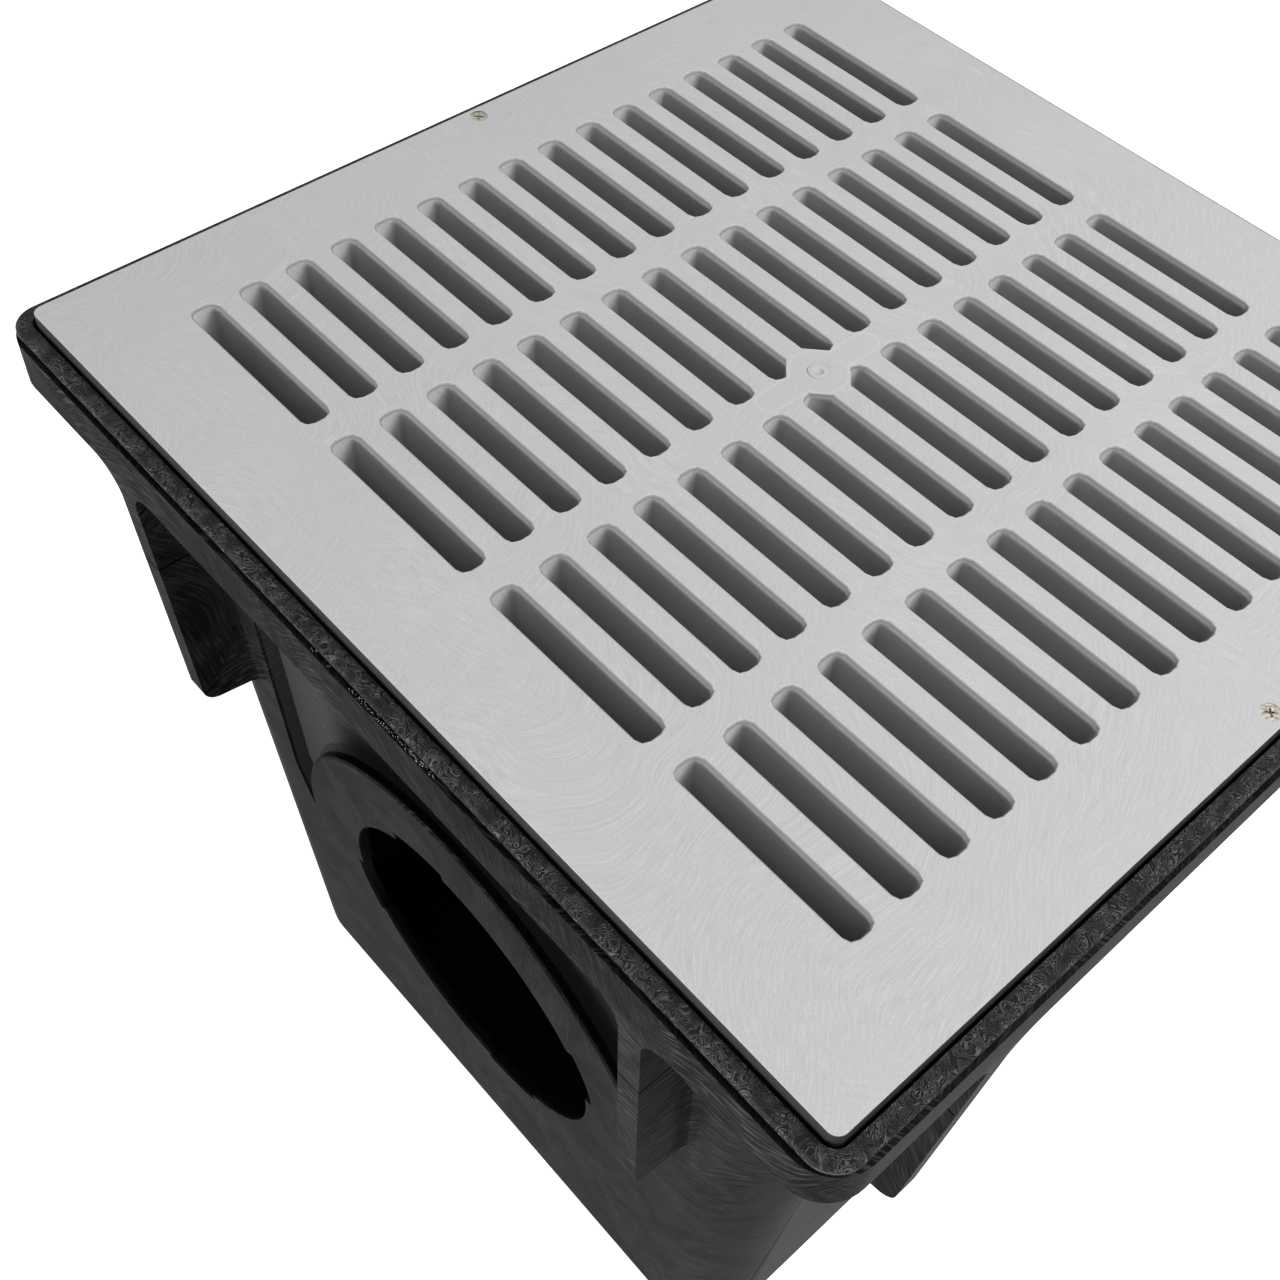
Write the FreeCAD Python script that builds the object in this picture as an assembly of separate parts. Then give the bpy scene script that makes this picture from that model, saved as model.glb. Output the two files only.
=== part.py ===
import FreeCAD, Part
import math
import os
from FreeCAD import Vector

# Square gully basin with a lift-out slotted grate. Millimetres, +Z up.
# Origin: centre of the basin's underside. X runs along the slots, Y along each row of them.

# Overall
overall_height = 468.0
plate_size = 450.0
plate_corner_r = 4.5
plate_edge = 0.4
grate_depth = 24.0

# Slots; the margins are the plain plate outside them
slot_rows = 4
slots_per_row = 16
margin_x = 40.225
margin_y = 48.325
row_gap = 13.85
slot_width = 11.8
slot_corner_r = 3.6
slot_corner_steps = 2
slot_lip = 1.1
slot_draft_deg = 1.5

# Underside of the grate, where the bars hang lower than the seat
bar_depth = 32.0
bar_block_rim_x = 4.825
bar_block_rim_y = 5.325
top_skin = 6.0
grate_wall = 6.0
margin_rib = 4.0
margin_rib_gap = 1.5
gate_web = 18.4
gate_ring_r = 4.6
gate_ring_height = 0.5
gate_dimple_r = 2.6
gate_dimple_depth = 0.9

# Screws
screw_inset = 6.2
screw_head_r = 3.95
screw_head_edge = 0.35
screw_r = 2.08
screw_length = 38.0
screw_fit = 0.05
head_sink = 0.25
recess_span = 4.4
recess_width = 0.9
recess_depth = 1.5
grate_boss_r = 6.5

# Rim and collar of the basin
grate_gap = 1.6
rim_drop = 5.3
rim_width = 6.7
rim_corner_r = 12.4
rim_edge = 0.8
groove_height = 1.6
groove_depth = 2.2
collar_step = 1.8
collar_drop = 9.0
collar_depth = 30.4
collar_corner_r = 18.0
pocket_corner_r = 6.0
shelf_boss_r = 6.0
shelf_boss_length = 14.0

# Body of the basin; the shelf reaches in to the water space from the pocket that holds the grate
shelf_width = 26.1
body_draft_deg = 3.26
body_corner_r = 36.0
body_edge = 4.5
wall = 6.0

# Outlet, one on each side; above it the wall is set back round a half-round pad
pad_r = 130.0
pad_edge = 1.0
pad_centre_z = 176.5
setback_depth = 8.0
setback_low = 30.0
setback_foot = 3.0
outlet_r = 88.9
notch_r = 93.4
notch_count = 4
notch_start_deg = 5.5
notch_sweep_deg = 25.0

# Fins, two on each side
fin_inset = 56.2
fin_thickness = 10.8
fin_slope_deg = 3.1
fin_tip_z = 285.5
fin_wall_z = 280.0
fin_tip_r = 10.0
fin_top_r = 15.0
fin_root_r = 6.5
fin_root_steps = 3

# Levels and half sizes that follow from the values above
plate_half = plate_size / 2.0
seat_z = overall_height - grate_depth
bar_z = overall_height - bar_depth
rim_z = overall_height - rim_drop
ledge_z = overall_height - collar_drop
shelf_z = overall_height - collar_depth
pocket_half = plate_half + grate_gap
rim_half = pocket_half + rim_width
collar_half = rim_half + collar_step
draft = math.tan(math.radians(body_draft_deg))
body_half_at_top = pocket_half - shelf_width + wall
boss_bottom_z = shelf_z - shelf_boss_length
screw_x = plate_half - screw_inset
fin_offset = body_half_at_top - fin_inset
setback_half = fin_offset - fin_thickness / 2.0 - fin_root_r
field_half_x = plate_half - margin_x
field_half_y = plate_half - margin_y
slot_length = (2 * field_half_x - (slot_rows - 1) * row_gap) / slot_rows
slot_pitch = (2 * field_half_y - slot_width) / (slots_per_row - 1)
row_pitch = slot_length + row_gap
bar_block_x = field_half_x + bar_block_rim_x
bar_block_y = field_half_y + bar_block_rim_y


def wall_half(z):
    """Half width of the body's outside at height z."""
    return body_half_at_top - draft * (overall_height - z)


def upright_edges(solid):
    """Edges that climb by more than a millimetre."""
    found = []
    for edge in solid.Edges:
        ends = [v.Point.z for v in edge.Vertexes]
        if len(ends) == 2 and abs(ends[0] - ends[1]) > 1.0:
            found.append(edge)
    return found


def level_edges(solid, z):
    """Edges that lie wholly at height z."""
    found = []
    for edge in solid.Edges:
        box = edge.BoundBox
        if abs(box.ZMin - z) < 0.01 and abs(box.ZMax - z) < 0.01:
            found.append(edge)
    return found


def rounded_block(half_x, half_y, z0, z1, corner_r):
    block = Part.makeBox(2 * half_x, 2 * half_y, z1 - z0, Vector(-half_x, -half_y, z0))
    return block.makeFillet(corner_r, upright_edges(block))


def drafted_block(half0, z0, half1, z1, corner_r):
    """Square block whose four sides lean outward, corners rounded along the lean."""
    block = Part.makeWedge(
        -half0, z0, -half0, -half1, -half1,
        half0, z1, half0, half1, half1)
    block.rotate(Vector(0, 0, 0), Vector(1, 0, 0), 90)
    return block.makeFillet(corner_r, upright_edges(block))


def corner_points(centre_x, centre_y, r, start_deg, steps):
    """Points of a quarter turn of radius r, from start_deg, in the given number of steps."""
    points = []
    for step in range(steps + 1):
        angle = math.radians(start_deg + 90.0 * step / steps)
        points.append((centre_x + r * math.cos(angle), centre_y + r * math.sin(angle)))
    return points


def slot_outline(cx, cy, half_x, half_y, r):
    """Corner points of a slot, its four corners taken in a few short steps."""
    points = corner_points(cx + half_x - r, cy + half_y - r, r, 0, slot_corner_steps)
    points += corner_points(cx - half_x + r, cy + half_y - r, r, 90, slot_corner_steps)
    points += corner_points(cx - half_x + r, cy - half_y + r, r, 180, slot_corner_steps)
    points += corner_points(cx + half_x - r, cy - half_y + r, r, 270, slot_corner_steps)
    return points


def flat_face(points):
    return Part.Face(Part.makePolygon(points + [points[0]]))


def solid_between(sections):
    """Solid through level outlines with equally many points: a list of (z, points)."""
    rings = [[Vector(x, y, z) for x, y in points] for z, points in sections]
    faces = [flat_face(rings[0]), flat_face(rings[-1])]
    for low, high in zip(rings[:-1], rings[1:]):
        for index in range(len(low)):
            following = (index + 1) % len(low)
            faces.append(flat_face([low[index], low[following], high[following], high[index]]))
    return Part.makeSolid(Part.makeShell(faces))


def around(shape):
    """The shape and its copies on the other three sides."""
    copies = []
    for quarter in range(4):
        copy = shape.copy()
        copy.rotate(Vector(0, 0, 0), Vector(0, 0, 1), 90 * quarter)
        copies.append(copy)
    return copies


# Basin

def body_outside():
    block = drafted_block(wall_half(0), 0.0, wall_half(seat_z), seat_z, body_corner_r)
    return block.makeChamfer(body_edge, level_edges(block, 0.0))


def body_inside():
    """The space for the water, open at the seat."""
    floor_half = wall_half(wall) - wall
    brim_z = seat_z + 1.0
    brim_half = wall_half(brim_z) - wall
    return drafted_block(floor_half, wall, brim_half, brim_z, body_corner_r - wall)


def collar():
    """Band round the grate: skirt, ledge, groove and rim."""
    band = rounded_block(collar_half, collar_half, shelf_z, ledge_z, collar_corner_r)
    neck_half = rim_half - groove_depth
    neck_r = rim_corner_r - groove_depth
    groove_z = ledge_z + groove_height
    neck = rounded_block(neck_half, neck_half, ledge_z - 1.0, groove_z + 1.0, neck_r)
    rim = rounded_block(rim_half, rim_half, groove_z, rim_z, rim_corner_r)
    rim = rim.makeChamfer(rim_edge, level_edges(rim, rim_z))
    return band.fuse([neck, rim]).removeSplitter()


def pad_frame(shape):
    """Put a shape made about +Z on the -Y wall, square to its slope."""
    placed = shape.copy()
    placed.rotate(Vector(0, 0, 0), Vector(1, 0, 0), 90 + body_draft_deg)
    placed.translate(Vector(0, -wall_half(pad_centre_z), pad_centre_z))
    return placed


def setback_block(grow, depth, top):
    """Block behind the wall's face between the fins, from the outlet's centre line up."""
    half = setback_half + grow
    low = setback_low - grow
    foot = pad_r + grow
    points = [(half, low), (half, top), (-half, top), (-half, low), (-foot, -grow), (foot, -grow)]
    plan = flat_face([Vector(x, y, -depth) for x, y in points])
    return plan.extrude(Vector(0, 0, depth + 2 * wall))


def setback():
    """Set-back part of the wall, which leaves the pad round the outlet standing."""
    block = setback_block(0.0, setback_depth, seat_z - pad_centre_z)
    profile = flat_face([
        Vector(0, 0, -setback_depth - 1),
        Vector(pad_r + setback_foot, 0, -setback_depth - 1),
        Vector(pad_r + setback_foot, 0, -setback_depth),
        Vector(pad_r, 0, setback_foot - setback_depth),
        Vector(pad_r, 0, -pad_edge),
        Vector(pad_r - pad_edge, 0, 0),
        Vector(pad_r - pad_edge, 0, 2 * wall + 1),
        Vector(0, 0, 2 * wall + 1),
    ])
    pad = profile.revolve(Vector(0, 0, 0), Vector(0, 0, 1), 360)
    return pad_frame(block.cut(pad))


def setback_lining():
    """Inner side of the set-back wall, one wall thickness behind it, kept out of the water space."""
    block = setback_block(wall, setback_depth + wall, seat_z - pad_centre_z + wall)
    core = Part.makeCylinder(pad_r - wall, 4 * wall + setback_depth, Vector(0, 0, -setback_depth - 2 * wall))
    return pad_frame(block.cut(core))


def outlet_cut():
    """Round outlet with its ring of notches for a twist-in pipe adapter."""
    reach = 3 * wall
    base = Vector(0, 0, -reach)
    height = reach + 2 * wall
    cut = Part.makeCylinder(outlet_r, height, base)
    notches = []
    for index in range(notch_count):
        notch = Part.makeCylinder(notch_r, height, base, Vector(0, 0, 1), notch_sweep_deg)
        turn = notch_start_deg + index * 360.0 / notch_count
        notch.rotate(Vector(0, 0, 0), Vector(0, 0, 1), turn)
        notches.append(notch)
    return pad_frame(cut.fuse(notches).removeSplitter())


def fin():
    """Gusset between the collar and the -Y wall, at x = 0."""
    top_z = shelf_z + 2.0
    slope = math.tan(math.radians(fin_slope_deg))
    inner = wall_half(fin_wall_z) - wall / 2.0
    tip_half = collar_half - slope * (shelf_z - fin_tip_z)
    fall = (fin_tip_z - fin_wall_z) / (tip_half - wall_half(fin_wall_z))
    side = Part.makePolygon([
        Vector(0, -inner, top_z),
        Vector(0, -collar_half, top_z),
        Vector(0, -collar_half, shelf_z),
        Vector(0, -tip_half, fin_tip_z),
        Vector(0, -inner, fin_tip_z - fall * (tip_half - inner)),
        Vector(0, -inner, top_z),
    ])
    span = fin_thickness + 4 * fin_top_r
    blank = Part.Face(side).extrude(Vector(span, 0, 0))
    blank.translate(Vector(-span / 2.0, 0, 0))
    tip = []
    for edge in blank.Edges:
        box = edge.BoundBox
        if abs(box.YMin + tip_half) < 0.01 and abs(box.YMax + tip_half) < 0.01:
            tip.append(edge)
    blank = blank.makeFillet(fin_tip_r, tip)

    # Plan of the web with flared roots, swept along the slope of the wall
    half = fin_thickness / 2.0
    low_z = fin_wall_z - 20.0
    face_y = -wall_half(low_z)
    back_y = face_y + wall / 2.0
    front_y = -collar_half - 40.0
    root = corner_points(half + fin_root_r, face_y - fin_root_r, fin_root_r, 90, fin_root_steps)
    right = [(half + fin_root_r, back_y)] + root + [(half, front_y)]
    left = [(-x, y) for x, y in reversed(right)]
    plan = flat_face([Vector(x, y, low_z) for x, y in right + left])
    rise = top_z - low_z
    web = plan.extrude(Vector(0, -draft * rise, rise))

    # Round flare where the web meets the collar
    t = fin_top_r * (1.0 - math.sqrt(0.5))
    flare_z = shelf_z - fin_top_r
    flare = Part.Wire([
        Part.makeLine(Vector(-half, -inner, flare_z), Vector(half, -inner, flare_z)),
        Part.Arc(Vector(half, -inner, flare_z), Vector(half + t, -inner, shelf_z - t),
                 Vector(half + fin_top_r, -inner, shelf_z)).toShape(),
        Part.makeLine(Vector(half + fin_top_r, -inner, shelf_z), Vector(half + fin_top_r, -inner, top_z)),
        Part.makeLine(Vector(half + fin_top_r, -inner, top_z), Vector(-half - fin_top_r, -inner, top_z)),
        Part.makeLine(Vector(-half - fin_top_r, -inner, top_z), Vector(-half - fin_top_r, -inner, shelf_z)),
        Part.Arc(Vector(-half - fin_top_r, -inner, shelf_z), Vector(-half - t, -inner, shelf_z - t),
                 Vector(-half, -inner, flare_z)).toShape(),
    ])
    crown = Part.Face(flare).extrude(Vector(0, -collar_half, 0))
    return blank.common(web.fuse(crown).removeSplitter())


def fins():
    pair = []
    for side in (-1, 1):
        one = fin()
        one.translate(Vector(side * fin_offset, 0, 0))
        pair += around(one)
    return pair


def shelf_bosses():
    """Blind bosses under the shelf that take the two screws."""
    bosses = []
    for side in (-1, 1):
        height = seat_z - boss_bottom_z - 2.0
        boss = Part.makeCylinder(shelf_boss_r, height, Vector(side * screw_x, 0, boss_bottom_z))
        web_x = min(side * screw_x, side * (wall_half(boss_bottom_z) - wall / 2.0))
        web_length = screw_x - wall_half(boss_bottom_z) + wall / 2.0
        web = Part.makeBox(web_length, 5.0, height, Vector(web_x, -2.5, boss_bottom_z))
        bosses += [boss, web]
    return bosses


def shelf_bores():
    bores = []
    for side in (-1, 1):
        low_z = overall_height - screw_length - 1.0
        bore = Part.makeCylinder(screw_r + screw_fit, seat_z - low_z + 1.0, Vector(side * screw_x, 0, low_z))
        bores.append(bore)
    return bores


def basin():
    shell = body_outside().cut(around(setback()))
    shell = shell.fuse([collar()] + fins() + shelf_bosses())
    pocket = rounded_block(pocket_half, pocket_half, seat_z, overall_height, pocket_corner_r)
    inside = body_inside().cut(around(setback_lining()))
    cuts = [inside, pocket] + around(outlet_cut()) + shelf_bores()
    return shell.cut(cuts).removeSplitter()


# Grate

def slot_cut(cx, cy):
    """Slot with a softened mouth that widens slightly towards the underside."""
    half_x = slot_length / 2.0
    half_y = slot_width / 2.0
    spread = bar_depth * math.tan(math.radians(slot_draft_deg))
    foot = slot_outline(cx, cy, half_x + spread, half_y + spread, slot_corner_r + spread)
    neck = slot_outline(cx, cy, half_x, half_y, slot_corner_r)
    mouth = slot_outline(cx, cy, half_x + slot_lip, half_y + slot_lip, slot_corner_r + slot_lip)
    return solid_between([(bar_z, foot), (overall_height - slot_lip, neck), (overall_height, mouth)])


def slot_centres():
    centres = []
    for row in range(slot_rows):
        for place in range(slots_per_row):
            cx = (row - (slot_rows - 1) / 2.0) * row_pitch
            cy = (place - (slots_per_row - 1) / 2.0) * slot_pitch
            centres.append((cx, cy))
    return centres


def margin_pockets():
    """Hollows under the plain margins, left between thin ribs."""
    field_x = field_half_x + margin_rib + margin_rib_gap
    field_y = field_half_y + margin_rib + margin_rib_gap
    edge = plate_half - grate_wall
    height = grate_depth - top_skin
    cell = 2 * slot_pitch
    pockets = []
    for side in (-1, 1):
        x0 = field_x if side > 0 else -edge
        for place in range(slots_per_row // 2):
            y0 = (place - slots_per_row / 4.0) * cell + margin_rib / 2.0
            pockets.append(Part.makeBox(edge - field_x, cell - margin_rib, height, Vector(x0, y0, seat_z)))
        y0 = field_y if side > 0 else -edge
        for place in range(2 * slot_rows):
            x0 = (place - slot_rows) * row_pitch / 2.0 + margin_rib / 2.0
            length = row_pitch / 2.0 - margin_rib
            pockets.append(Part.makeBox(length, edge - field_y, height, Vector(x0, y0, seat_z)))
    return pockets


def head_profile(grow):
    """Half outline of the screw head's cone, grown by a clearance below the head."""
    head_z = overall_height - head_sink
    cone_z = head_z - screw_head_edge
    neck_r = screw_r + grow
    neck_z = cone_z - (screw_head_r - neck_r)
    return head_z, cone_z, neck_r, neck_z


def screw_seat(x):
    """Countersunk clearance hole for one screw."""
    head_z, cone_z, neck_r, neck_z = head_profile(screw_fit)
    profile = Part.makePolygon([
        Vector(0, 0, seat_z - 1),
        Vector(neck_r, 0, seat_z - 1),
        Vector(neck_r, 0, neck_z),
        Vector(screw_head_r, 0, cone_z),
        Vector(screw_head_r, 0, overall_height + 1),
        Vector(0, 0, overall_height + 1),
        Vector(0, 0, seat_z - 1),
    ])
    seat = Part.Face(profile).revolve(Vector(0, 0, 0), Vector(0, 0, 1), 360)
    seat.translate(Vector(x, 0, 0))
    return seat


def gate_ring():
    """Small raised disc where the plastic entered the mould."""
    ring = Part.makeCylinder(gate_ring_r, gate_ring_height + 1.0, Vector(0, 0, overall_height - 1.0))
    return ring.makeChamfer(gate_ring_height * 0.8, level_edges(ring, overall_height + gate_ring_height))


def gate_dimple():
    top_z = overall_height + gate_ring_height
    base = Vector(0, 0, top_z - gate_dimple_depth)
    return Part.makeCone(gate_dimple_r / 3.0, gate_dimple_r, gate_dimple_depth, base)


def grate():
    plate = rounded_block(plate_half, plate_half, seat_z, overall_height, plate_corner_r)
    plate = plate.makeChamfer(plate_edge, level_edges(plate, overall_height))
    plate = plate.cut(Part.makeCompound(margin_pockets()))
    limit = rounded_block(plate_half, plate_half, seat_z, overall_height - 2.0, plate_corner_r)
    bosses = []
    for side in (-1, 1):
        boss = Part.makeCylinder(grate_boss_r, grate_depth - 2.0, Vector(side * screw_x, 0, seat_z))
        bosses.append(boss.common(limit))
    corner = Vector(-bar_block_x, -bar_block_y, bar_z)
    bars = Part.makeBox(2 * bar_block_x, 2 * bar_block_y, bar_depth - top_skin, corner)
    plate = plate.fuse(bosses + [bars])

    # The web round the gate closes the inner corners of the four nearest slots
    corners = [Vector(gate_web, 0, bar_z), Vector(0, gate_web, bar_z)]
    corners += [Vector(-gate_web, 0, bar_z), Vector(0, -gate_web, bar_z)]
    web = flat_face(corners).extrude(Vector(0, 0, bar_depth))
    cutters = []
    for cx, cy in slot_centres():
        cutter = slot_cut(cx, cy)
        if abs(cx) < row_pitch and abs(cy) < slot_pitch:
            cutter = cutter.cut(web)
        cutters.append(cutter)
    plate = plate.cut(Part.makeCompound(cutters))
    plate = plate.fuse(gate_ring())
    seats = [screw_seat(side * screw_x) for side in (-1, 1)]
    return plate.cut([gate_dimple()] + seats).removeSplitter()


# Screws

def screw(x):
    """Flat-head screw with a cross recess."""
    head_z, cone_z, neck_r, neck_z = head_profile(0.0)
    tip_z = overall_height - screw_length
    profile = Part.makePolygon([
        Vector(0, 0, tip_z),
        Vector(neck_r, 0, tip_z),
        Vector(neck_r, 0, neck_z),
        Vector(screw_head_r, 0, cone_z),
        Vector(screw_head_r, 0, head_z),
        Vector(0, 0, head_z),
        Vector(0, 0, tip_z),
    ])
    body = Part.Face(profile).revolve(Vector(0, 0, 0), Vector(0, 0, 1), 360)
    cross = []
    for turn in (45, 135):
        wing = Part.makeWedge(
            -recess_width / 2.0, 0.0, -recess_span / 4.0, -recess_span / 2.0, -recess_width / 2.0,
            recess_width / 2.0, recess_depth, recess_span / 4.0, recess_span / 2.0, recess_width / 2.0)
        wing.rotate(Vector(0, 0, 0), Vector(1, 0, 0), 90)
        wing.rotate(Vector(0, 0, 0), Vector(0, 0, 1), turn)
        wing.translate(Vector(0, 0, head_z - recess_depth))
        cross.append(wing)
    body = body.cut(cross)
    body.translate(Vector(x, 0, 0))
    return body


def grate_screws():
    return Part.makeCompound([screw(-screw_x), screw(screw_x)])


os.makedirs("parts", exist_ok=True)
basin().exportStep("parts/basin.step")
grate().exportStep("parts/grate.step")
grate_screws().exportStep("parts/grate_screws.step")
print("exported basin, grate and grate_screws")
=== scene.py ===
# %% [markdown]
# # A square gully basin with its slotted grate
# The basin is one black moulding of foamed plastic, and the grate is one pale grey moulding that
# lies in its rim, held by two small screws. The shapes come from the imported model. This lesson
# gives them soft edges, the brushed skin that foamed plastic has, a plain studio and a camera.

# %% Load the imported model
import math

import bmesh
import bpy
from mathutils import Matrix, Vector


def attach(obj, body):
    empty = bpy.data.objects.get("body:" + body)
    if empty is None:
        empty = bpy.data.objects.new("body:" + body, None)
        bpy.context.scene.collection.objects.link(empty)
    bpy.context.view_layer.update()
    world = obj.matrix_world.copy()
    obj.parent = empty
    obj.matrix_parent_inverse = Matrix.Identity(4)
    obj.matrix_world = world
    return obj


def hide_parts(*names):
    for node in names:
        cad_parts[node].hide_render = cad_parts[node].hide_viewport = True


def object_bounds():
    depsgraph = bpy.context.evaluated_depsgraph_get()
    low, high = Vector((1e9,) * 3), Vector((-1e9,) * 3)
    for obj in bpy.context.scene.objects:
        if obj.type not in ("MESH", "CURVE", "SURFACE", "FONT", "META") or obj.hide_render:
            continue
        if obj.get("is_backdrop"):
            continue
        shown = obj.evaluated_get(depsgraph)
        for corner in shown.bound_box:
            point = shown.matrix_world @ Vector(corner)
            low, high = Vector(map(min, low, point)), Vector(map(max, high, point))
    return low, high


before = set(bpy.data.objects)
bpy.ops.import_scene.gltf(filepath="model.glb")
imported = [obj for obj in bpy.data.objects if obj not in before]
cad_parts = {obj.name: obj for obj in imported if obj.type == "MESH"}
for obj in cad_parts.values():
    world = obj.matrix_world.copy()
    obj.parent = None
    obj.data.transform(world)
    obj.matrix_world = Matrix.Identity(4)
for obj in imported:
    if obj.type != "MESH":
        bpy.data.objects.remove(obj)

cad_low, cad_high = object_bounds()
scene = bpy.context.scene
print("nodes:", sorted(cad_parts))
print("size of the model in metres:", [round(v, 4) for v in cad_high - cad_low])

# %% [markdown]
# ## The camera
# The photograph looks down on one corner from close by, so the near corner is strongly
# foreshortened. A plain camera with a fixed place and direction gives that view. Its matrix holds
# the camera's own right, up and backward directions as columns.

# %% Camera
LENS_MM = 45.22
SENSOR_MM = 36.0
CAMERA_AT = Vector((0.2937, -0.3963, 0.9105))
CAMERA_RIGHT = Vector((0.6692, 0.7410, 0.0565))
CAMERA_UP = Vector((-0.6100, 0.5043, 0.6113))
CAMERA_BACK = Vector((0.4244, -0.4435, 0.7895))


def place_camera():
    """Make the scene's camera from its place and its three directions."""
    data = bpy.data.cameras.new("camera")
    data.lens = LENS_MM
    data.sensor_width = SENSOR_MM
    data.clip_start = 0.01
    data.clip_end = 100.0
    camera = bpy.data.objects.new("camera", data)
    scene.collection.objects.link(camera)
    turn = Matrix((CAMERA_RIGHT, CAMERA_UP, CAMERA_BACK)).transposed()
    camera.matrix_world = Matrix.Translation(CAMERA_AT) @ turn.to_4x4()
    scene.camera = camera
    return camera


camera = place_camera()
print("camera height above the ground: %.3f m" % camera.location.z)

# %% [markdown]
# ## Node helpers
# Every finish below is a small network of shader nodes. A few helpers keep the networks short:
# they add a node and set its values, join two sockets, do sums, and mix two colours.

# %% Helpers for shader nodes


def add_node(tree, kind, **values):
    """Add a node. Names that are sockets set the socket, others set the node's property."""
    node = tree.nodes.new(kind)
    for name, value in values.items():
        label = name.replace("_", " ")
        found = [s for s in node.inputs if s.name.lower() == label.lower() and s.enabled]
        if hasattr(node, name):
            setattr(node, name, value)
        else:
            found[0].default_value = value
    return node


def link(tree, source, target):
    tree.links.new(source, target)


def math_node(tree, operation, first, second=None):
    """A Math node whose inputs are sockets or plain numbers. Returns its output."""
    node = tree.nodes.new("ShaderNodeMath")
    node.operation = operation
    for index, value in enumerate((first, second)):
        if value is None:
            continue
        if isinstance(value, (int, float)):
            node.inputs[index].default_value = value
        else:
            link(tree, value, node.inputs[index])
    return node.outputs[0]


def product(tree, first, *others):
    for value in others:
        first = math_node(tree, "MULTIPLY", first, value)
    return first


def minus(tree, first, second):
    return math_node(tree, "SUBTRACT", first, second)


def size_of(tree, value):
    """A number without its sign."""
    return math_node(tree, "ABSOLUTE", value)


def ramp_between(tree, value, low, high, out_low=0.0, out_high=1.0):
    """Map a number from low..high to out_low..out_high, smoothly and clamped."""
    node = tree.nodes.new("ShaderNodeMapRange")
    node.interpolation_type = "SMOOTHSTEP"
    link(tree, value, node.inputs["Value"])
    node.inputs["From Min"].default_value = low
    node.inputs["From Max"].default_value = high
    node.inputs["To Min"].default_value = out_low
    node.inputs["To Max"].default_value = out_high
    return node.outputs["Result"]


def mix_colours(tree, factor, first, second):
    """Mix two colours, each a socket or a tuple."""
    node = tree.nodes.new("ShaderNodeMix")
    node.data_type = "RGBA"
    link(tree, factor, node.inputs[0])
    for socket, value in ((node.inputs[6], first), (node.inputs[7], second)):
        if isinstance(value, tuple):
            socket.default_value = (*value, 1.0)
        else:
            link(tree, value, socket)
    return node.outputs[2]


print("node helpers ready")

# %% [markdown]
# ## The brushed skin of foamed plastic
# Foamed plastic is injected with gas in it. Bubbles burst at the mould and are dragged along by the
# flow, which leaves fine parallel strokes that bend in broad sweeps, like brushed hair. The skin is
# drawn in two dimensions, so it needs a flat place for every point: level faces use X and Y, and
# upright faces use the way round the part and the height.

# %% Group: flat place on the skin
LEVEL_FROM = 0.6  # a face is level where its normal's Z is larger than this


def new_group(name, inputs, outputs):
    """A shader node group with named sockets, and its two end nodes."""
    tree = bpy.data.node_groups.new(name, "ShaderNodeTree")
    for socket_name, socket_type, value in inputs:
        socket = tree.interface.new_socket(socket_name, in_out="INPUT", socket_type=socket_type)
        if value is not None:
            socket.default_value = value
    for socket_name, socket_type in outputs:
        tree.interface.new_socket(socket_name, in_out="OUTPUT", socket_type=socket_type)
    return tree, tree.nodes.new("NodeGroupInput"), tree.nodes.new("NodeGroupOutput")


def make_flat_place():
    """Two coordinates on the skin."""
    tree, start, end = new_group(
        "flat place",
        [("Vector", "NodeSocketVector", None), ("Normal", "NodeSocketVector", None)],
        [("Place", "NodeSocketVector")])
    point = tree.nodes.new("ShaderNodeSeparateXYZ")
    link(tree, start.outputs["Vector"], point.inputs[0])
    facing = tree.nodes.new("ShaderNodeSeparateXYZ")
    link(tree, start.outputs["Normal"], facing.inputs[0])
    level = math_node(tree, "GREATER_THAN", size_of(tree, facing.outputs["Z"]), LEVEL_FROM)
    upright = minus(tree, 1.0, level)
    along = math_node(tree, "ADD", point.outputs["X"], product(tree, point.outputs["Y"], upright))
    height = math_node(tree, "ADD", product(tree, point.outputs["Y"], level),
                       product(tree, point.outputs["Z"], upright))
    joined = tree.nodes.new("ShaderNodeCombineXYZ")
    link(tree, along, joined.inputs["X"])
    link(tree, height, joined.inputs["Y"])
    link(tree, joined.outputs[0], end.inputs["Place"])
    return tree


flat_place = make_flat_place()
print("group made:", flat_place.name, "with", len(flat_place.nodes), "nodes")

# %% [markdown]
# A slow noise bends the flat place in sweeps some centimetres wide. A second noise, long in one
# direction and thin in the other, then draws strokes that follow the bends. Two sets of strokes at
# different angles take turns, as broad patches of the first noise decide. A third, cloudy noise
# tells where the plastic is a little lighter.

# %% Group: brushed strokes


def mix_numbers(tree, factor, first, second):
    """Mix two numbers, each a socket or a plain number."""
    node = tree.nodes.new("ShaderNodeMix")
    node.data_type = "FLOAT"
    for socket, value in ((node.inputs[0], factor), (node.inputs[2], first), (node.inputs[3], second)):
        if isinstance(value, (int, float)):
            socket.default_value = value
        else:
            link(tree, value, socket)
    return node.outputs[0]


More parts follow.
